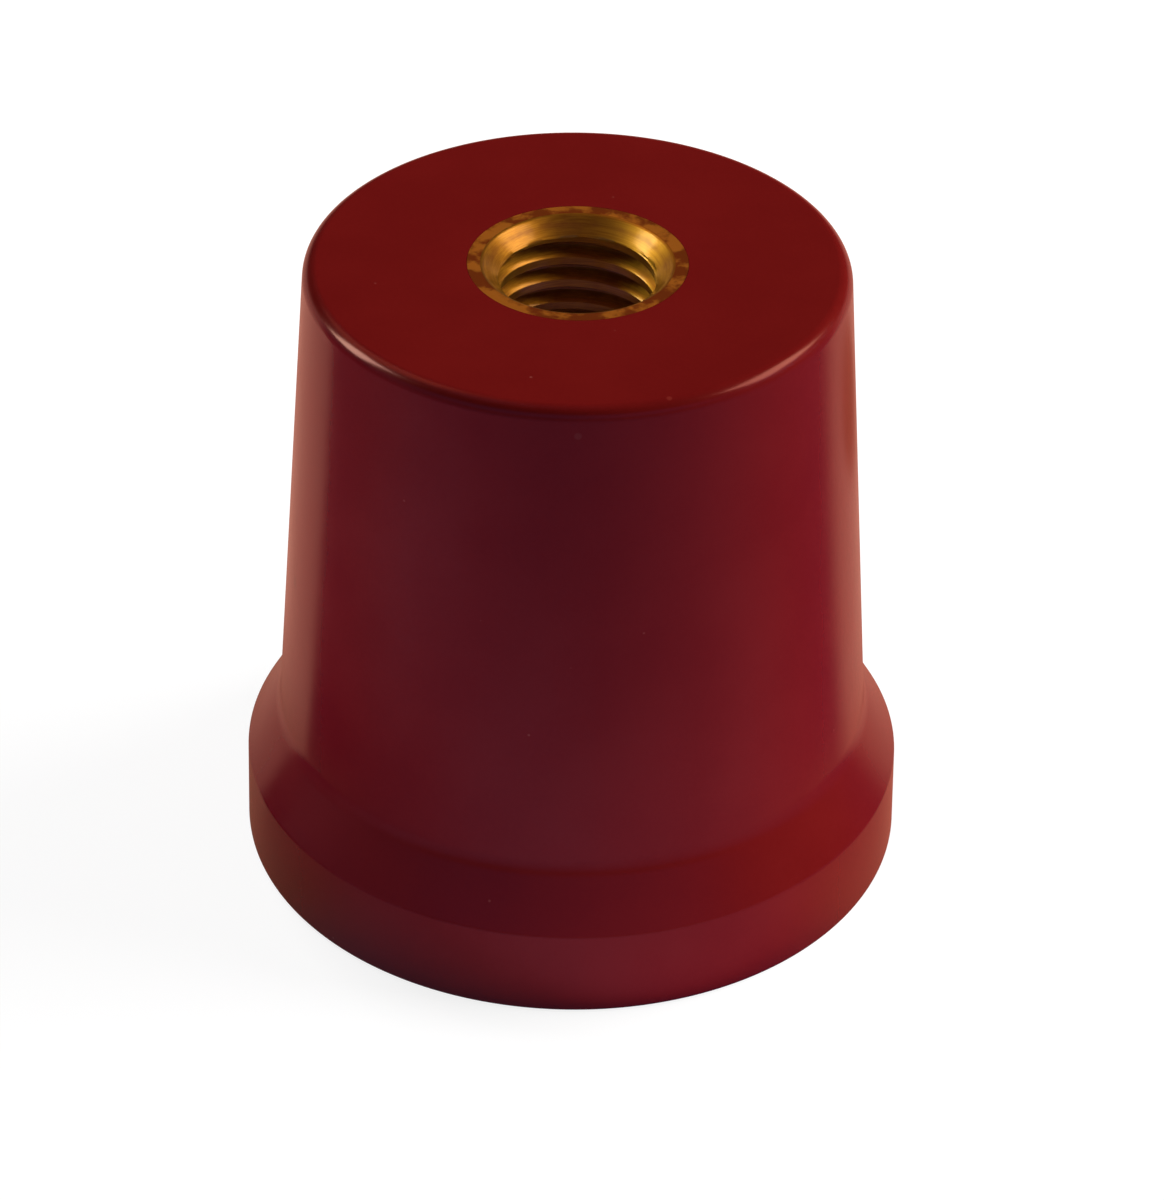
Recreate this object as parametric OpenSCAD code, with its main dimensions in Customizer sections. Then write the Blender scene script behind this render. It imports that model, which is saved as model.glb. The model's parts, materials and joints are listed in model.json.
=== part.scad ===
// Busbar support insulator: a resin moulding with a foot, a sloping shoulder and a
// tapered column, and a blind threaded brass insert moulded into each end.
// The origin is the centre of the base, with +Z up along the column.

/* [Column] */
// Height from the base to the busbar seat
body_height = 45; // [38:0.5:80]
// Diameter of the seat, measured to the sharp corner before it is rounded
seat_diameter = 36.2; // [26:0.1:41]
// Radius of the rounded edge around the seat
seat_round = 1; // [0.2:0.1:4]
// Diameter at the neck, where the column meets the shoulder
neck_diameter = 41; // [36:0.1:44]
// Radius of the hollow corner at the neck
neck_fillet = 0.8; // [0.2:0.1:1.4]

/* [Foot] */
// Diameter of the foot where it stands
foot_diameter = 46; // [44.5:0.5:70]
// Height of the upright band of the foot
foot_height = 6.3; // [2:0.1:12]
// Taper of the upright band, in degrees, which lets the moulding leave its tool
foot_draft = 1.3; // [0:0.1:5]
// Height of the sloping shoulder above the band
shoulder_height = 4; // [2.6:0.1:10]
// Radius of the edge between the band and the shoulder
shoulder_round = 0.5; // [0.1:0.1:1]
// Radius of the edge that the foot stands on
base_round = 0.35; // [0.1:0.05:1]

/* [Inserts] */
// Length of each insert
insert_length = 18; // [17:0.1:18.8]
// Diameter of an insert over the plain collar at its mouth
insert_diameter = 14.6; // [14.2:0.1:22]
// Height of the collar, which keeps the resin off the mouth in the mould
collar_height = 1.6; // [0.8:0.1:1.8]
// Diameter of the tapped bore at the crests of its thread
bore_diameter = 10.4; // [6:0.1:11]
// Depth of the bore at its full diameter
bore_depth = 13.5; // [8:0.1:14]
// Angle of the point that the drill leaves at the bottom of the bore
drill_angle = 118; // [110:1:140]
// Diameter of the countersink at the mouth of the bore
countersink_diameter = 12.7; // [11.2:0.1:13]
// Included angle of the countersink
countersink_angle = 90; // [60:1:120]

/* [Grip of the inserts] */
// Number of teeth in the straight knurl
knurl_teeth = 38; // [24:2:60]
// Distance by which the crests of the knurl stand inside the collar
knurl_inset = 0.1; // [0.05:0.05:0.15]
// Depth of the knurl
knurl_depth = 0.3; // [0.1:0.05:0.4]
// Distance from the mouth to the first retaining groove
groove_start = 5; // [2:0.1:7]
// Width of each retaining groove
groove_width = 1.8; // [0.6:0.1:3]
// Distance from one groove to the next
groove_pitch = 5.4; // [4:0.1:7]
// Depth of the grooves below the collar
groove_depth = 0.7; // [0.6:0.05:0.9]
// Bevel around the blind end of an insert
end_bevel = 0.8; // [0.2:0.1:1.2]
// Gap between the resin and the brass, left as the resin shrinks
shrink_gap = 0.02; // [0.01:0.01:0.1]

/* [Hidden] */

$fn = 96;

// Radii along the outline, from the foot up
foot_r = foot_diameter / 2;
shoulder_r = foot_r - foot_height * tan(foot_draft);
neck_r = neck_diameter / 2;
neck_z = foot_height + shoulder_height;
seat_r = seat_diameter / 2;

// The bore of an insert
bore_r = bore_diameter / 2;
countersink_r = countersink_diameter / 2;
countersink_depth = (countersink_r - bore_r) / tan(countersink_angle / 2);
drill_point = bore_r / tan(drill_angle / 2);

// Number of retaining grooves
groove_count = 2;
// How far a cut runs past the face that it opens
overrun = 1;

function unit(v) = v / norm(v);

// Distance from a corner to where its rounding starts
function setback(a, b, c, radius) =
    let (half = acos(unit(a - b) * unit(c - b)) / 2) radius / tan(half);

// Where the rounding of corner b meets the edge towards the point end
function touch(a, b, c, radius, end) = b + unit(end - b) * setback(a, b, c, radius);

// Centre of the rounding of corner b
function round_centre(a, b, c, radius) =
    let (half = acos(unit(a - b) * unit(c - b)) / 2)
    b + unit(unit(a - b) + unit(c - b)) * radius / sin(half);

// The patch between a corner and its rounding, to take away from a corner
// that stands out or to add to one that is hollow
module corner_patch(a, b, c, radius) {
    difference() {
        polygon([b, touch(a, b, c, radius, a), round_centre(a, b, c, radius), touch(a, b, c, radius, c)]);
        translate(round_centre(a, b, c, radius)) circle(r = radius);
    }
}

// Half of the body's section, from the axis outwards
module body_section() {
    axis_low = [0, 0];
    foot_edge = [foot_r, 0];
    shoulder_edge = [shoulder_r, foot_height];
    neck = [neck_r, neck_z];
    seat_edge = [seat_r, body_height];
    axis_high = [0, body_height];
    difference() {
        union() {
            polygon([axis_low, foot_edge, shoulder_edge, neck, seat_edge, axis_high]);
            corner_patch(shoulder_edge, neck, seat_edge, neck_fillet);
        }
        corner_patch(axis_low, foot_edge, shoulder_edge, base_round);
        corner_patch(foot_edge, shoulder_edge, neck, shoulder_round);
        corner_patch(neck, seat_edge, axis_high, seat_round);
    }
}

// Outline of the straight knurl, grown by a gap
module knurl_outline(gap) {
    crest_r = insert_diameter / 2 - knurl_inset + gap;
    root_r = crest_r - knurl_depth;
    step = 360 / knurl_teeth;
    polygon([
        for (i = [0 : knurl_teeth - 1], side = [0, 1])
            let (r = side == 0 ? crest_r : root_r, a = (i + side / 2) * step)
            [r * cos(a), r * sin(a)]
    ]);
}

// Outside of an insert that hangs down from its mouth at z = 0, grown by a gap
// and run on above the mouth where it cuts a socket
module insert_form(gap, above) {
    outer_r = insert_diameter / 2 + gap;
    groove_r = outer_r - groove_depth;
    difference() {
        union() {
            translate([0, 0, -collar_height - gap])
                cylinder(r = outer_r, h = collar_height + gap + above);
            translate([0, 0, -insert_length - gap])
                linear_extrude(insert_length + gap - collar_height / 2) knurl_outline(gap);
        }
        for (i = [0 : groove_count - 1])
            translate([0, 0, -groove_start - i * groove_pitch - groove_width + gap])
                rotate_extrude()
                    translate([groove_r, 0]) square([groove_depth + overrun, groove_width - 2 * gap]);
        translate([0, 0, -insert_length - gap])
            rotate_extrude()
                polygon([[outer_r - end_bevel, 0], [outer_r + overrun, end_bevel + overrun], [outer_r + overrun, 0]]);
    }
}

// Countersink, tapped bore and drill point, opening upwards at z = 0
module insert_bore() {
    rotate_extrude()
        polygon([
            [0, overrun],
            [countersink_r, overrun],
            [countersink_r, 0],
            [bore_r, -countersink_depth],
            [bore_r, -bore_depth],
            [0, -bore_depth - drill_point]
        ]);
}

module insert() {
    color("#a9812f")
        difference() {
            insert_form(0, 0);
            insert_bore();
        }
}

// Stands its children at the top face, mouth up
module at_top() {
    translate([0, 0, body_height]) children();
}

// Turns its children over at the base, mouth down
module at_base() {
    mirror([0, 0, 1]) children();
}

module insulator_body() {
    color("#6b1512")
        difference() {
            rotate_extrude() body_section();
            at_top() insert_form(shrink_gap, overrun);
            at_base() insert_form(shrink_gap, overrun);
        }
}

module top_insert() {
    at_top() insert();
}

module base_insert() {
    at_base() insert();
}

insulator_body();
top_insert();
base_insert();
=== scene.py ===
import json
from math import cos, pi, radians, sin, tan

import bmesh
import bpy
from mathutils import Matrix, Vector


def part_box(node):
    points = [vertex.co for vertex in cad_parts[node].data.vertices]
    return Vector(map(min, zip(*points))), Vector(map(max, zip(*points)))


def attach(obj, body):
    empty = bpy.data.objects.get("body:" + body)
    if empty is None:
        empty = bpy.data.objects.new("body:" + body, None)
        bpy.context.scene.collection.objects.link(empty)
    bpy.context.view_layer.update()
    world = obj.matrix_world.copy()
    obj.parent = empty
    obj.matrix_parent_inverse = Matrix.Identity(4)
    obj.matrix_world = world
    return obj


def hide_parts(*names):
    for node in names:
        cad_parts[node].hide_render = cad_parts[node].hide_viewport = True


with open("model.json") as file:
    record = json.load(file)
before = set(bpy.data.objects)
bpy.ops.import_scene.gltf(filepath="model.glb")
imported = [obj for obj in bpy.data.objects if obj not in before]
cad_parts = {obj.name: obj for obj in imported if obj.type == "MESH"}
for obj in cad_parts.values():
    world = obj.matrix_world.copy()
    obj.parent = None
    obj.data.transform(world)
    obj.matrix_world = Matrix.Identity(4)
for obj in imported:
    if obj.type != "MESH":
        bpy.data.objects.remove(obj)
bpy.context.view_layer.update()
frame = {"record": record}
mm = 0.001

# What the frame says of the part, in mm
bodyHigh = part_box("insulator_body")[1] / mm
insertLow, insertHigh = (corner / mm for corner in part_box("top_insert"))
footRadius = bodyHigh.x
seatHeight = bodyHigh.z
insertLength = insertHigh.z - insertLow.z
collarRadius = insertHigh.x
threadMount = next(m for m in frame["record"]["mounts"] if m["name"] == "top_thread")
crestRadius = threadMount["dims"]["r_mm"]
print("frame loaded: foot", round(footRadius * 2, 2), "mm across, seat at", round(seatHeight, 2), "mm")


# The camera stands in front and looks down on the seat

camera = {
    "elevation": 35.22,     # degrees above the floor
    "distance": 305.5,      # mm from the point that it looks at
    "aimHeight": 17.79,     # mm up the axis
    "aimRight": 0.60,       # mm, so that the column stands a little left of the middle
    "roll": 0.84,           # degrees
    "lens": 132.1,          # mm, on the sensor's width below
    "sensor": 36,
    "clip": (0.01, 10),     # m, the nearest and the furthest that it sees
}


def placeCamera():
    tilt = radians(camera["elevation"])
    aim = Vector((camera["aimRight"], 0, camera["aimHeight"])) * mm
    back = Vector((0, -cos(tilt), sin(tilt)))
    eye = bpy.data.objects.new("camera", bpy.data.cameras.new("camera"))
    eye.data.lens = camera["lens"]
    eye.data.sensor_width = camera["sensor"]
    eye.data.clip_start, eye.data.clip_end = camera["clip"]
    facing = back.to_track_quat("Z", "Y").to_matrix().to_4x4()
    lean = Matrix.Rotation(radians(camera["roll"]), 4, "Z")
    eye.matrix_world = Matrix.Translation(aim + back * camera["distance"] * mm) @ facing @ lean
    bpy.context.scene.collection.objects.link(eye)
    bpy.context.scene.camera = eye


placeCamera()
print("camera placed")


# Shader maths: a Wire is a socket that can stand in a sum, where each sign adds its Math node

class Wire:
    def __init__(self, finish, socket):
        self.finish = finish
        self.socket = socket

    def maths(self, operation, *others):
        sockets = dict(enumerate((self, *others)))
        return self.finish.node("Math", {"operation": operation}, sockets)

    def __add__(self, other):
        return self.maths("ADD", other)

    def __sub__(self, other):
        return self.maths("SUBTRACT", other)

    def __rsub__(self, other):
        return self * -1 + other

    def __mul__(self, other):
        return self.maths("MULTIPLY", other)

    def __truediv__(self, other):
        return self.maths("DIVIDE", other)

    def __pow__(self, other):
        return self.maths("POWER", other)

    def __abs__(self):
        return self.maths("ABSOLUTE")

    __radd__ = __add__
    __rmul__ = __mul__


class Finish:
    def __init__(self, owner):
        owner.use_nodes = True
        self.tree = owner.node_tree
        self.tree.nodes.clear()

    # The way to every node: its settings go in first, then its sockets by name or number
    def node(self, kind, settings=None, sockets=None, out=0):
        made = self.tree.nodes.new("ShaderNode" + kind)
        for name, value in (settings or {}).items():
            setattr(made, name, value)
        for name, value in (sockets or {}).items():
            if isinstance(value, Wire):
                self.tree.links.new(value.socket, made.inputs[name])
            else:
                made.inputs[name].default_value = value
        return Wire(self, made.outputs[out]) if made.outputs else made

    # From 0 to 1 while value goes from low to high, with soft ends
    def rise(self, value, low, high):
        sockets = {"Value": value, "From Min": low, "From Max": high}
        return self.node("MapRange", {"interpolation_type": "SMOOTHSTEP"}, sockets)

    # A Mix node takes its colours in sockets 6 and 7 and gives the mixed one at 2
    def blend(self, mask, first, second, how="MIX"):
        settings = {"data_type": "RGBA", "blend_type": how}
        return self.node("Mix", settings, {0: mask, 6: first, 7: second}, 2)

    def blendShaders(self, mask, first, second):
        return self.node("MixShader", None, {0: mask, 1: first, 2: second})

    # Where a point lies on the part, in mm from its origin
    def place(self):
        spot = self.node("TexCoord", out="Object")
        return self.node("VectorMath", {"operation": "SCALE"}, {0: spot, "Scale": 1 / mm})

    def apart(self, vector, count=3):
        return [self.node("SeparateXYZ", None, {0: vector}, axis) for axis in range(count)]

    def noise(self, place, size, detail, roughness=0.5):
        sockets = {"Vector": place, "Scale": 1 / size, "Detail": detail, "Roughness": roughness}
        return self.node("TexNoise", None, sockets)

    # A round mark that is full in its core, a share of its radius, and soft around it
    def mark(self, place, middle, radius, core=0.6):
        away = self.node("VectorMath", {"operation": "DISTANCE"}, {0: place, 1: middle}, "Value")
        return 1 - self.rise(away, radius * core, radius)

    def bump(self, height, depth, under=None):
        sockets = {"Height": height, "Distance": depth * mm, "Strength": 1}
        if under:
            sockets["Normal"] = under
        return self.node("Bump", None, sockets)

    def finishWith(self, shader, output="OutputMaterial"):
        self.node(output, None, {0: shader})


def grey(level):
    return (level, level, level, 1)


def fromAxis(x, y):
    return (x * x + y * y) ** 0.5


# Noise swings round its middle, so what it varies stays the same on the whole
def swing(noise, reach):
    return (noise - 0.5) * reach


# The resin: a deep red moulding compound, glossy from its tool, with faint clouds and a fine grain

resin = {
    "red": (0.128, 0.0049, 0.0040, 1),
    "deepRed": (0.118, 0.0042, 0.0036, 1),
    "redFrom": (0.35, 0.65),            # where the pattern goes from deep red to red
    "sheen": (1.0, 0.60, 1.0, 1),       # tints the gloss of what faces the eye
    "roughness": 0.20,
    "cloudSize": 6.0,                   # mm
    "cloudShare": 0.65,                 # of the pattern, and the rest is grain
    "cloudRoughness": 0.10,             # by how much clouds and grain vary the roughness
    "grainSize": 0.30,                  # mm
    "grainRoughness": 0.08,
    "grainDepth": 0.0006,               # mm
    "peelSize": 1.5,                    # mm, the faint ripple of a moulded skin
    "peelDepth": 0.006,                 # mm
    "cellSize": 2.6,                    # mm, and each cell may have a fleck or a pore
}
# Each takes the cells whose lot is high enough, and its edge is soft between two radii, in cells
fleck = {
    "colour": (0.26, 0.06, 0.05, 1),
    "strength": 0.5,
    "edge": (0.02, 0.05),
    "lot": (0.70, 0.72),
}
pore = {
    "colour": (0.02, 0.003, 0.003, 1),
    "strength": 0.7,
    "edge": (0.015, 0.035),
    "lot": (0.88, 0.90),
}
# Marks that this one has picked up: where, how big in mm, how strong and in what colour
marks = {
    "darkSpeck": ((-18.85, -5.5, 22.8), 0.45, 0.6, (0.03, 0.006, 0.005, 1)),
    "paleFleck": ((5.9, -16.4, 45.0), 0.22, 0.4, (0.24, 0.03, 0.02, 1)),
    "faintFleck": ((0.2, -18.2, 43.2), 0.30, 0.3, (0.18, 0.04, 0.04, 1)),
}


def redResin():
    material = bpy.data.materials.new("redResin")
    finish = Finish(material)
    place = finish.place()
    clouds = finish.noise(place, resin["cloudSize"], detail=3)
    grain = finish.noise(place, resin["grainSize"], detail=2, roughness=0.6)
    pattern = clouds * resin["cloudShare"] + grain * (1 - resin["cloudShare"])
    colour = finish.blend(finish.rise(pattern, *resin["redFrom"]), resin["deepRed"], resin["red"])

    # Ends of glass fibre show as pale flecks, and a few cells have a dark pore instead
    cells = {"Vector": place, "Scale": 1 / resin["cellSize"], "Randomness": 1.0}
    near = finish.node("TexVoronoi", None, cells, "Distance")
    lots = finish.apart(finish.node("TexVoronoi", None, cells, "Color"), 2)
    flecks, pores = [
        (1 - finish.rise(near, *kind["edge"])) * finish.rise(lot, *kind["lot"])
        for kind, lot in zip((fleck, pore), lots)
    ]
    pores = pores * (1 - flecks)
    colour = finish.blend(flecks * fleck["strength"], colour, fleck["colour"])
    colour = finish.blend(pores * pore["strength"], colour, pore["colour"])
    for middle, radius, strength, shade in marks.values():
        colour = finish.blend(finish.mark(place, middle, radius) * strength, colour, shade)

    peel = finish.noise(place, resin["peelSize"], detail=1.5, roughness=0.4)
    skin = finish.bump(peel, resin["peelDepth"])
    skin = finish.bump(grain, resin["grainDepth"], skin)
    roughness = resin["roughness"] + swing(clouds, resin["cloudRoughness"])
    roughness = roughness + swing(grain, resin["grainRoughness"])
    shader = finish.node("BsdfPrincipled", None, {
        "Base Color": colour,
        "Roughness": roughness,
        "Normal": skin,
        "Specular Tint": resin["sheen"],
    })
    finish.finishWith(shader)
    return material


# The brass: turned and tapped, browner in the roots of the thread and on the face, and with painted
# shade that browns the bore a little more the deeper it goes

brass = {
    "gold": (0.46, 0.30, 0.035, 1),
    "deepGold": (0.33, 0.20, 0.022, 1),
    "goldFrom": (0.3, 0.7),         # where the rings go from deep gold to gold
    "tarnish": (0.24, 0.11, 0.032, 1),
    "tarnishFrom": (0.45, 0.95),    # where the clouds turn to tarnish
    "tarnishStrength": 0.7,
    "tarnishRoughness": 0.08,       # by how much it adds to the roughness
    "metal": 0.94,
    "roughness": 0.44,
    "lacquer": 0.60,                # none of it on the face
    "lacquerRoughness": 0.18,
    "cloudSize": 1.6,               # mm
    "ringSize": 0.09,               # mm
    "ringDepth": 0.0040,            # mm
    "ringRoughness": 0.08,
    "ringTurn": 0.06,               # how fast the rings change along themselves
}
# Inside, depths are in mm below the mouth
bore = {
    "threadRoughness": 0.45,
    "threadFrom": (0.9, 1.8),       # where the roughness of the thread takes over
    "rootIn": (5.55, 5.95),         # mm from the axis, where the roots start to be browner
    "rootOut": (6.02, 6.10),        # and where that ends
    "rootFrom": (0.2, 0.6),         # the depth where they start to be so
    "rootTarnish": 0.25,
    # Painted shade: the bore is painted a little browner the deeper it goes
    "deepFrom": (2.0, 8.0),         # where the bore gets a little browner with its depth
    "deepTarnish": 0.05,
}
# The face that the busbar lies on. It is painted lighter round three spots: painted highlight at the
# back right and the back left, where the countersink's glints spill onto it, and a lighter patch at
# the front left.
face = {
    "faced": (0.70, 0.38, 0.060, 1),
    "facedDark": (0.33, 0.108, 0.024, 1),
    "darkFrom": (0.36, 0.54),       # where the clouds turn the face dark
    "roughness": 0.58,
    "depth": (0.005, 0.02),         # mm, where it ends
    "rubbed": [(5.93, 3.43), (-5.93, 3.43), (-4.8, -4.9)],
    "rubSize": 2.6,                 # mm
    "rubStrength": 0.14,
}


def turnedBrass():
    material = bpy.data.materials.new("turnedBrass")
    finish = Finish(material)
    place = finish.place()
    x, y, z = finish.apart(place)
    radius = fromAxis(x, y)
    depth = z.maths("MINIMUM", seatHeight - z)
    clouds = finish.noise(place, brass["cloudSize"], detail=3, roughness=0.6)

    # The tool leaves rings, so the pattern varies fast across them and slowly along them
    rings = finish.node("CombineXYZ", None, {"X": radius, "Y": z, "Z": (x + y) * brass["ringTurn"]})
    turning = finish.noise(rings, brass["ringSize"], detail=2, roughness=0.6)
    colour = finish.blend(finish.rise(turning, *brass["goldFrom"]), brass["deepGold"], brass["gold"])

    inRoot = finish.rise(radius, *bore["rootIn"]) * (1 - finish.rise(radius, *bore["rootOut"]))
    inRoot = inRoot * finish.rise(depth, *bore["rootFrom"])
    # Painted shade: deeper in the bore the brass is painted a little browner, on top of the tarnish
    # that the clouds and the roots give
    paintedDepthShade = finish.rise(depth, *bore["deepFrom"])
    tarnishAndDepthShade = clouds + inRoot * bore["rootTarnish"] + paintedDepthShade * bore["deepTarnish"]
    tarnishAndDepthShade = finish.rise(tarnishAndDepthShade, *brass["tarnishFrom"])
    colour = finish.blend(tarnishAndDepthShade * brass["tarnishStrength"], colour, brass["tarnish"])

    onFace = 1 - finish.rise(depth, *face["depth"])
    # Painted highlight: the face is painted lighter round three spots, two of them where the
    # countersink's glints spill onto it
    spots = [(*spot, seatHeight) for spot in face["rubbed"]]
    paintedLight = sum(finish.mark(place, spot, face["rubSize"]) for spot in spots)
    dark = finish.rise(clouds - paintedLight * face["rubStrength"], *face["darkFrom"])
    colour = finish.blend(onFace, colour, finish.blend(dark, face["faced"], face["facedDark"]))

    inThread = finish.rise(depth, *bore["threadFrom"])
    inside = inThread * (bore["threadRoughness"] - brass["roughness"]) + brass["roughness"]
    inside = inside + tarnishAndDepthShade * brass["tarnishRoughness"] + swing(turning, brass["ringRoughness"])
    shader = finish.node("BsdfPrincipled", None, {
        "Base Color": colour,
        "Metallic": brass["metal"],
        "Roughness": inside + onFace * (face["roughness"] - inside),
        "Normal": finish.bump(turning, brass["ringDepth"]),
        "Coat Weight": (1 - onFace) * brass["lacquer"],
        "Coat Roughness": brass["lacquerRoughness"],
    })
    finish.finishWith(shader)
    return material


redResinFinish = redResin()
turnedBrassFinish = turnedBrass()
print("finishes mixed")


# Everything on this part is turned or moulded round its axis, so a piece is a stack of rings.
# Each tooth of the knurl takes six columns, and plain rings have as many points as the knurl.

insert = {
    "teeth": 38,
    "columnsPerTooth": 6,
    "collar": 1.6,              # mm, as are all sizes here
    "knurlInset": 0.1,
    "knurlDepth": 0.3,
    "grooveStart": 5.0,
    "grooveWidth": 1.8,
    "groovePitch": 5.4,
    "grooveDepth": 0.7,
    "grooves": 2,
    "endBevel": 0.8,
    "shrinkGap": 0.02,
    "mouthRadius": 6.35,        # the countersink where it opens
    "mouthRound": 0.45,         # its eased edge
    "mouthSteps": 4,
    "boreDepth": 13.5,
    "drillAngle": 118,          # degrees
    "drillRings": 4,
}
columns = insert["teeth"] * insert["columnsPerTooth"]


def plainRing(radius, height):
    turns = [2 * pi * i / columns for i in range(columns)]
    return [Vector((radius * cos(a), radius * sin(a), height)) for a in turns]


# The knurl runs in straight lines from crest to root to crest
def knurlRing(crest, height):
    half = insert["columnsPerTooth"] // 2
    corners = []
    for i in range(insert["teeth"] * 2 + 1):
        radius = crest if i % 2 == 0 else crest - insert["knurlDepth"]
        angle = pi * i / insert["teeth"]
        corners.append(Vector((radius * cos(angle), radius * sin(angle), height)))
    return [a.lerp(b, k / half) for a, b in zip(corners, corners[1:]) for k in range(half)]


class Skin:
    def __init__(self):
        self.points = []
        self.faces = []

    def ring(self, points):
        first = len(self.points)
        self.points += points
        return list(range(first, len(self.points)))

    # Corners that have met at one point count once
    def face(self, *corners):
        corners = list(dict.fromkeys(corners))
        if len(corners) > 2:
            self.faces.append(corners)

    # Joins each ring to the next
    def stack(self, rings):
        for upper, lower in zip(rings, rings[1:]):
            for i in range(columns):
                j = (i + 1) % columns
                self.face(upper[i], upper[j], lower[j], lower[i])

    def closeAt(self, ring, tip):
        self.points.append(tip)
        for i in range(columns):
            self.face(ring[i], ring[(i + 1) % columns], len(self.points) - 1)

    # Edges that turn by more than sharpAngle, in degrees, stay sharp
    def piece(self, name, material, stand, sharpAngle=32):
        mesh = bpy.data.meshes.new(name)
        mesh.from_pydata([stand @ point * mm for point in self.points], [], self.faces)
        work = bmesh.new()
        work.from_mesh(mesh)
        bmesh.ops.recalc_face_normals(work, faces=work.faces)
        for part in work.faces:
            part.smooth = True
        for edge in work.edges:
            edge.smooth = edge.calc_face_angle(0) < radians(sharpAngle)
        work.to_mesh(mesh)
        work.free()
        made = bpy.data.objects.new(name, mesh)
        mesh.materials.append(material)
        bpy.context.scene.collection.objects.link(made)
        even = made.modifiers.new("evenShade", "WEIGHTED_NORMAL")
        even.keep_sharp = True
        return made


# Outside of an insert from its mouth down to its blind end, or of the socket round it with a gap
def insertOutside(gap):
    collar = collarRadius + gap
    crest = collar - insert["knurlInset"]
    groove = collar - insert["grooveDepth"]
    under = -insert["collar"] - gap
    rings = [plainRing(collar, 0), plainRing(collar, under), knurlRing(crest, under)]
    for i in range(insert["grooves"]):
        top = -insert["grooveStart"] - i * insert["groovePitch"] - gap
        bottom = top - insert["grooveWidth"] + 2 * gap
        rings += [knurlRing(crest, top), plainRing(groove, top)]
        rings += [plainRing(groove, bottom), knurlRing(crest, bottom)]
    end = -insertLength - gap
    endRadius = collar - insert["endBevel"]
    bevel = knurlRing(crest, end)
    for point in bevel:
        point.z += point.xy.length - endRadius
    return rings + [bevel, plainRing(endRadius, end), plainRing(endRadius / 2, end)]


# The moulding

moulding = {
    "seatRadius": 18.1,         # mm to the sharp corner, before it is rounded
    "seatRound": 1.0,
    "neckRadius": 20.5,
    "neckHeight": 10.3,
    "neckFillet": 3.0,
    "footHeight": 6.3,
    "footDraft": 1.3,           # degrees
    "shoulderRound": 0.5,
    "baseRound": 0.35,
    "seatSteps": 12,            # in which the seat's edge is rounded
    "roundSteps": 6,            # and every other corner
    "longestStep": 3.0,         # mm between rings
    "socketLip": 0.08,          # mm of flat round a socket that keeps its edge crisp
}


# The arc that rounds a corner between its neighbours
def roundOff(before, corner, after, radius, steps):
    toBefore = (before - corner).normalized()
    toAfter = (after - corner).normalized()
    half = toBefore.angle(toAfter) / 2
    middle = corner + (toBefore + toAfter).normalized() * radius / sin(half)
    first = corner + toBefore * radius / tan(half) - middle
    last = corner + toAfter * radius / tan(half) - middle
    return [middle + first.slerp(last, step / steps) * radius for step in range(steps + 1)]


# Points from the lip in the seat, over the rounded edge and down to the lip in the base
def mouldingOutline(lip):
    axisTop = Vector((0, seatHeight))
    seatEdge = Vector((moulding["seatRadius"], seatHeight))
    neck = Vector((moulding["neckRadius"], moulding["neckHeight"]))
    draft = moulding["footHeight"] * tan(radians(moulding["footDraft"]))
    shoulder = Vector((footRadius - draft, moulding["footHeight"]))
    foot = Vector((footRadius, 0))
    axisFoot = Vector((0, 0))
    steps = moulding["roundSteps"]
    corners = [Vector((lip, seatHeight))]
    corners += roundOff(axisTop, seatEdge, neck, moulding["seatRound"], moulding["seatSteps"])
    corners += roundOff(seatEdge, neck, shoulder, moulding["neckFillet"], steps)
    corners += roundOff(neck, shoulder, foot, moulding["shoulderRound"], steps)
    corners += roundOff(shoulder, foot, axisFoot, moulding["baseRound"], steps)
    corners += [Vector((lip, 0))]
    outline = [corners[0]]
    for start, end in zip(corners, corners[1:]):
        steps = int((end - start).length / moulding["longestStep"]) + 1
        outline += [start.lerp(end, step / steps) for step in range(1, steps + 1)]
    return outline


# From the blind end of the upper socket over the outside to that of the lower one
def mouldBody():
    skin = Skin()
    socket = insertOutside(insert["shrinkGap"])
    upper = [[point + Vector((0, 0, seatHeight)) for point in ring] for ring in socket]
    lower = [[Vector((point.x, point.y, -point.z)) for point in ring] for ring in socket]
    lip = collarRadius + moulding["socketLip"]
    rings = upper[::-1] + [plainRing(*corner) for corner in mouldingOutline(lip)] + lower
    rings = [skin.ring(points) for points in rings]
    skin.stack(rings)
    deepest = insertLength + insert["shrinkGap"]
    skin.closeAt(rings[0], Vector((0, 0, seatHeight - deepest)))
    skin.closeAt(rings[-1], Vector((0, 0, deepest)))
    body = skin.piece("mouldedBody", redResinFinish, Matrix.Identity(4))
    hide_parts("insulator_body")
    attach(body, "root")


# The thread's rows climb with it, so that its crests and roots stay crisp.
# A row that would leave the bore stops at the mouth or at the bottom.

thread = {
    "rootRadius": 6.0,          # mm
    "pitch": 1.75,
    "rootFlat": 0.125,          # of the pitch
    "flankAngle": 30,           # degrees from square
    "flankRows": (0.35, 0.65),  # where a flank has rows between its ends
    "soften": 0.035,            # mm by which each corner of the profile is eased
    "start": 0.53,              # turns by which the thread is turned round the axis
    "fadeIn": (1.0, 2.0),       # mm below the mouth, where its height starts and is full
    "runOut": 2.2,              # mm over which it fades above the bottom of the bore
    "plainEnd": 1.1,            # mm without thread at the bottom of the bore
    "spareTurns": 3,            # so that the rows reach past both ends of the bore
    "closest": 0.02,            # mm, and a row that comes closer to an end joins it
}
rootHalf = thread["pitch"] * thread["rootFlat"] / 2
threadHeight = thread["rootRadius"] - crestRadius
flankRun = tan(radians(thread["flankAngle"]))       # mm along the axis per mm of height


def within(share):
    return min(max(share, 0), 1)


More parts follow.
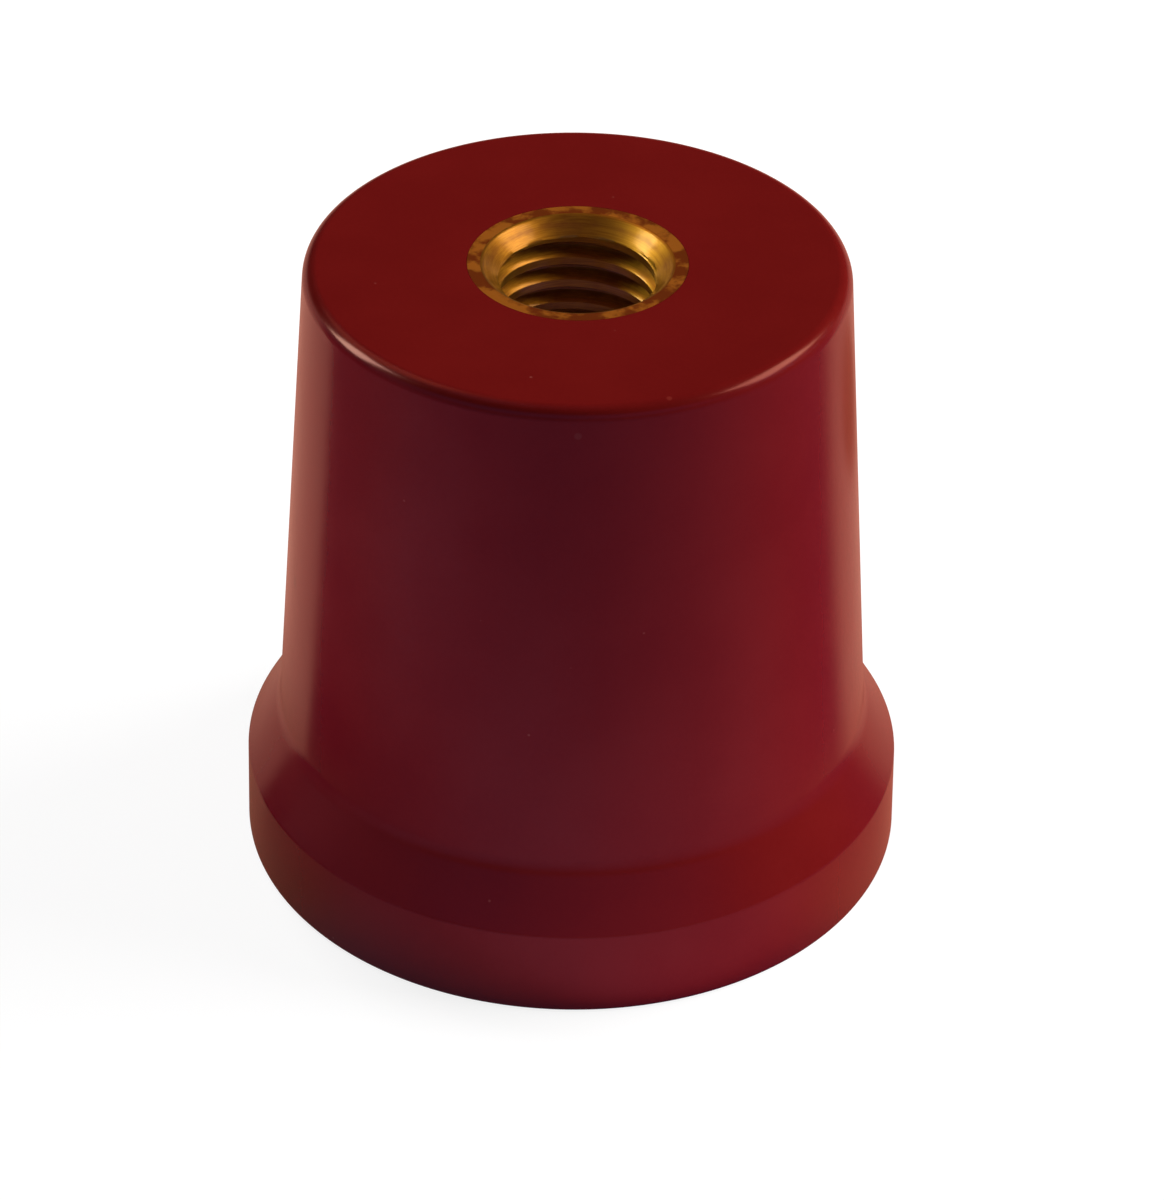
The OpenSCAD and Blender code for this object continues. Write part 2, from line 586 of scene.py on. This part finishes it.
# Rows over one pitch, from the middle of a root to the next
def threadRows():
    flank = threadHeight * flankRun
    ease = thread["soften"]
    crestHalf = rootHalf + flank
    half = [0, rootHalf - ease, rootHalf + ease]
    half += [rootHalf + flank * share for share in thread["flankRows"]]
    half += [crestHalf - ease, crestHalf + ease, (crestHalf + ease + thread["pitch"] / 2) / 2]
    return half + [thread["pitch"] / 2] + [thread["pitch"] - x for x in half[:0:-1]]


def threadRadius(offset, depth):
    away = min(offset, thread["pitch"] - offset) - rootHalf
    left = insert["boreDepth"] - thread["plainEnd"] - depth
    first, last = thread["fadeIn"]
    full = threadHeight * within(left / thread["runOut"]) * within((depth - first) / (last - first))
    return crestRadius + min(max(threadHeight - away / flankRun, 0), full)


def tapBore(skin, mouth, mouthDepth, bottom):
    rows = threadRows()
    turns = int(insert["boreDepth"] / thread["pitch"]) + thread["spareTurns"]
    drops = [(turn - thread["start"], offset) for turn in range(turns) for offset in rows]
    grid = {}

    def corner(column, row):
        if column == columns:
            column, row = 0, row - len(rows)
        if row < 0:
            return mouth[column]
        if (column, row) not in grid:
            turn, offset = drops[row]
            depth = (turn - column / columns) * thread["pitch"] + offset
            if depth < mouthDepth + thread["closest"]:
                grid[column, row] = mouth[column]
            elif depth > insert["boreDepth"] - thread["closest"]:
                grid[column, row] = bottom[column]
            else:
                cone = insert["mouthRadius"] - depth
                radius = max(threadRadius(offset, depth), cone)
                angle = 2 * pi * column / columns
                grid[column, row] = len(skin.points)
                skin.points.append(Vector((radius * cos(angle), radius * sin(angle), -depth)))
        return grid[column, row]

    for column in range(columns):
        for row in range(len(drops) - 1):
            skin.face(corner(column, row), corner(column, row + 1),
                      corner(column + 1, row + 1), corner(column + 1, row))


# Built mouth up with the mouth at z = 0, then stood in its place
def cutInsert(name, node, stand):
    skin = Skin()
    outside = [skin.ring(points) for points in insertOutside(0)]
    skin.stack(outside)
    skin.closeAt(outside[-1], Vector((0, 0, -insertLength)))

    edge = Vector((insert["mouthRadius"], 0))
    down = Vector((crestRadius, crestRadius - insert["mouthRadius"]))
    rim = Vector((collarRadius, 0))
    eased = roundOff(rim, edge, down, insert["mouthRound"], insert["mouthSteps"])
    mouth = [skin.ring(plainRing(*corner)) for corner in eased]
    skin.stack([outside[0]] + mouth)

    tip = crestRadius / tan(radians(insert["drillAngle"] / 2))
    shares = [step / insert["drillRings"] for step in range(insert["drillRings"])]
    drill = [plainRing(crestRadius * (1 - s), -insert["boreDepth"] - tip * s) for s in shares]
    drill = [skin.ring(points) for points in drill]
    skin.stack(drill)
    skin.closeAt(drill[-1], Vector((0, 0, -insert["boreDepth"] - tip)))
    tapBore(skin, mouth[-1], -eased[-1].y, drill[0])

    made = skin.piece(name, turnedBrassFinish, stand)
    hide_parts(node)
    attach(made, "root")


mouldBody()
print("body moulded")

# The insert in the base is the same one turned over, so its thread is right-hand too
atSeat = Matrix.Translation((0, 0, seatHeight))
upsideDown = Matrix.Rotation(pi, 4, "X")
cutInsert("seatInsert", "top_insert", atSeat)
cutInsert("baseInsert", "base_insert", upsideDown)
print("inserts turned and tapped")


# Lamps. None of them shows to the camera.
# A hung lamp's level is the light on a surface that faces it, and at 1 a colour shows as written.

lampDistance = 500          # mm
softLamps = {
    "topSoft": {"toward": (-0.30, 0.10, 0.95), "level": 0.10, "wide": 200, "tall": 200},
    "leftSoft": {"toward": (-0.45, 0.54, 0.71), "level": 0.54, "wide": 260, "tall": 180},
    "rightSoft": {"toward": (0.89, 0.15, 0.42), "level": 1.80, "wide": 400, "tall": 190},
}
shineLamps = {
    "leftShine": {"toward": (-0.84, 0.20, 0.51), "level": 0.44, "wide": 160, "tall": 230,
                  "tint": (1, 0.77, 0.40)},
    "leftGleam": {"toward": (-0.47, 0.40, 0.79), "level": 0.09, "wide": 250, "tall": 250,
                  "tint": (1, 0.25, 0.08)},
    "rightShine": {"toward": (0.72, 0.12, 0.66), "level": 0.42, "wide": 310, "tall": 180,
                   "tint": (1, 0.58, 0.27)},
}
# The level of a lamp that lies down and shines up is how bright it is itself
cardHeight = 0.2            # mm above the floor
cards = {
    "frontCard": {"away": 39, "round": -70, "wide": 30, "tall": 100, "level": 1.6},
    "leftCard": {"away": 80, "round": -170, "wide": 60, "tall": 100, "level": 4.6},
}
# Faint ones deep in the bore stand in for what its walls pass on to each other
boreLampDepth = 8.5         # mm below the seat
boreLampTint = (0.8, 0.36, 0.62)
boreLamps = {
    "boreMiddle": {"at": (0, -1), "wide": 5.6, "tall": 7.0, "level": 0.23, "tint": boreLampTint},
    "boreRight": {"at": (3.9, 1.6), "wide": 2.2, "tall": 5.6, "level": 0.63, "tint": boreLampTint},
    "boreLeft": {"at": (-3.9, 1.6), "wide": 2.2, "tall": 5.6, "level": 0.63, "tint": boreLampTint},
}


# A lamp without a tint is white
def addLamp(name, values, energy, stand):
    lamp = bpy.data.lights.new(name, "AREA")
    lamp.shape = "RECTANGLE"
    lamp.size = values["wide"] * mm
    lamp.size_y = values["tall"] * mm
    lamp.energy = energy
    lamp.color = values.get("tint", (1, 1, 1))
    made = bpy.data.objects.new(name, lamp)
    made.matrix_world = stand
    made.visible_camera = False
    bpy.context.scene.collection.objects.link(made)
    return made


# Soft lamps light the surfaces, and shine lamps show in gloss alone
def hangLamps(lamps, shine):
    aim = Vector((0, 0, seatHeight / 2)) * mm
    for name, values in lamps.items():
        toward = Vector(values["toward"]).normalized()
        facing = toward.to_track_quat("Z", "Y").to_matrix().to_4x4()
        stand = Matrix.Translation(aim + toward * lampDistance * mm) @ facing
        lamp = addLamp(name, values, values["level"] * (pi * lampDistance * mm) ** 2, stand)
        lamp.visible_glossy = shine
        lamp.visible_diffuse = not shine


def layLamp(name, values, stand):
    energy = values["level"] * pi * values["wide"] * values["tall"] * mm ** 2
    return addLamp(name, values, energy, stand @ upsideDown)


# The cards lie on the floor and throw light up from below
def layCards():
    for name, card in cards.items():
        turn = Matrix.Rotation(radians(card["round"]), 4, "Z")
        out = Matrix.Translation(Vector((card["away"], 0, cardHeight)) * mm)
        layLamp(name, card, turn @ out).visible_glossy = False


def lightBore():
    for name, values in boreLamps.items():
        low = Vector((*values["at"], seatHeight - boreLampDepth)) * mm
        layLamp(name, values, Matrix.Translation(low))


# The floor and the backdrop are white to the camera

studio = {
    "fill": 0.05,               # the even light of the backdrop
    "white": 1.0,
    "floorRadius": 1600,        # mm
    "floorGap": 0.01,           # mm under the foot
    "floorGlow": 0.84,
    "floorPaint": 0.22,
    "bounce": 0.60,             # the floor's paint as it lights the part
}
# What gloss shows of the room. Three colours are its middle, its left and its right, all in front.
# A direction's x is -1 on the left and 1 on the right, and its y is -1 in front and 1 behind.
mirrored = {
    "wall": ((0.14, 0.11, 0.187, 1), (0.05, 0.07, 0.113, 1), (0.18, 0.02, 0.034, 1)),
    "floor": ((0.065, 0.067, 0.13, 1), (0.055, 0.002, 0.042, 1), (0.08, 0.015, 0.076, 1)),
    "middleToSides": (-0.9, -0.1),          # from which y to which the middle turns to the sides
    "leftToRight": (-0.3, 0.3),             # from which x to which the left turns to the right
    "horizon": (0.10, 0.03, 0.04, 1),       # the middle of the wall, low down
    "horizonTo": (0.10, 0.34),              # sine of the elevation where that ends
    "above": (0.09, 0.016, 0.0136, 1),      # the room overhead
    "aboveFrom": (0.25, 0.50),              # sine of the elevation where that starts
    "aboveLean": 0.35,                      # how much lower it comes down at the back
    "bright": (0.76, 0.33, 0.236, 1),       # the low backdrop and the floor behind
    "brightFrom": 17.6,                     # mm in front of the axis, where the bright part starts
    "brightLean": (0.554, 0.66),            # mm that its edge falls back per mm to the left or right
    "brightEdge": (0.04, 0.14),             # how soft that edge is, left and right
    "darkSpot": ((50, 51, 0), 16),          # mm, something brown that stands behind to the right
    "darkShade": (0.55, 0.40, 0.30, 1),
    "nearReach": 17,                        # mm from the foot over which the floor counts as near
    "nearSwap": 10,                         # mm on each side over which its left turns to its right
    "nearFront": ((0.26, 0.155, 0.18, 1), (0.10, 0.036, 0.12, 1)),      # left and right
    "nearBeside": ((0.31, 0.108, 0.070, 1), (0.56, 0.171, 0.112, 1)),
    "frontToBeside": (-0.85, -0.45),        # from which y to which the front of it turns to beside
    "least": 0.001,                         # keeps a division from meeting zero
}


# What gloss shows in a direction across the floor, bright only behind the part
def lowRoom(finish, x, y, front, start=0):
    away = fromAxis(x, y) + mirrored["least"]
    right = finish.rise(x / away, *mirrored["leftToRight"])
    middle, *sides = front
    beside = finish.rise(y / away, *mirrored["middleToSides"])
    front = finish.blend(beside, middle, finish.blend(right, *sides))
    leanLeft, leanRight = mirrored["brightLean"]
    softLeft, softRight = mirrored["brightEdge"]
    lean = leanLeft + right * (leanRight - leanLeft)
    soft = softLeft + right * (softRight - softLeft)
    past = (y + start - abs(x) * lean) / (away * soft)
    return finish.blend(finish.rise(past, -1, 1), front, mirrored["bright"])


def lightRoom():
    room = bpy.data.worlds.new("room")
    bpy.context.scene.world = room
    finish = Finish(room)
    x, y, z = finish.apart(finish.node("TexCoord", out="Generated"))
    high = finish.rise(z + y * mirrored["aboveLean"], *mirrored["aboveFrom"])
    middle, *sides = mirrored["wall"]
    middle = finish.blend(finish.rise(z, *mirrored["horizonTo"]), mirrored["horizon"], middle)
    low = lowRoom(finish, x, y, (middle, *sides))
    glossy = finish.node("LightPath", out="Is Glossy Ray")
    seen = finish.node("LightPath", out="Is Camera Ray")
    light = finish.blend(glossy, grey(studio["fill"]), finish.blend(high, low, mirrored["above"]))
    light = finish.blend(seen, light, grey(studio["white"]))
    finish.finishWith(finish.node("Background", None, {"Color": light}), "OutputWorld")
    room.cycles.sampling_method = "NONE"


def paintFloor():
    material = bpy.data.materials.new("floorPaint")
    finish = Finish(material)
    place = finish.place()
    x, y = finish.apart(place, 2)
    away = fromAxis(x, y) + mirrored["least"]
    far = lowRoom(finish, x, y, mirrored["floor"], mirrored["brightFrom"])
    spot = finish.mark(place, *mirrored["darkSpot"])
    far = finish.blend(spot, far, mirrored["darkShade"], "MULTIPLY")
    right = finish.rise(x, -mirrored["nearSwap"], mirrored["nearSwap"])
    front = finish.blend(right, *mirrored["nearFront"])
    beside = finish.blend(right, *mirrored["nearBeside"])
    nearFoot = finish.blend(finish.rise(y / away, *mirrored["frontToBeside"]), front, beside)
    near = 1 - finish.rise(away, footRadius, footRadius + mirrored["nearReach"])
    mirror = finish.node("Emission", None, {"Color": finish.blend(near, far, nearFoot)})
    paint = finish.node("BsdfDiffuse", None, {"Color": grey(studio["floorPaint"])})
    glow = finish.node("Emission", None, {"Color": grey(studio["floorGlow"])})
    white = finish.node("AddShader", None, {0: paint, 1: glow})
    bounce = finish.node("BsdfDiffuse", None, {"Color": grey(studio["bounce"])})
    glossy = finish.node("LightPath", out="Is Glossy Ray")
    seen = finish.node("LightPath", out="Is Camera Ray")
    floor = finish.blendShaders(glossy, bounce, mirror)
    floor = finish.blendShaders(seen, floor, white)
    under = finish.node("NewGeometry", out="Backfacing")
    floor = finish.blendShaders(under, floor, finish.node("BsdfTransparent"))
    finish.finishWith(floor)
    material.cycles.emission_sampling = "NONE"
    return material


# The floor is open under the foot and clear from below, so that the base can be looked at
def layFloor():
    inner = footRadius - 2 * moulding["baseRound"]
    edges = [plainRing(radius, -studio["floorGap"]) for radius in (inner, studio["floorRadius"])]
    mesh = bpy.data.meshes.new("floor")
    faces = [(i, columns + i, columns + (i + 1) % columns, (i + 1) % columns) for i in range(columns)]
    mesh.from_pydata([point * mm for edge in edges for point in edge], [], faces)
    mesh.materials.append(paintFloor())
    made = bpy.data.objects.new("floor", mesh)
    bpy.context.scene.collection.objects.link(made)


hangLamps(softLamps, False)
hangLamps(shineLamps, True)
layCards()
lightBore()
print("lamps hung")

lightRoom()
layFloor()
bpy.context.scene.view_settings.view_transform = "Standard"
print("studio lit")
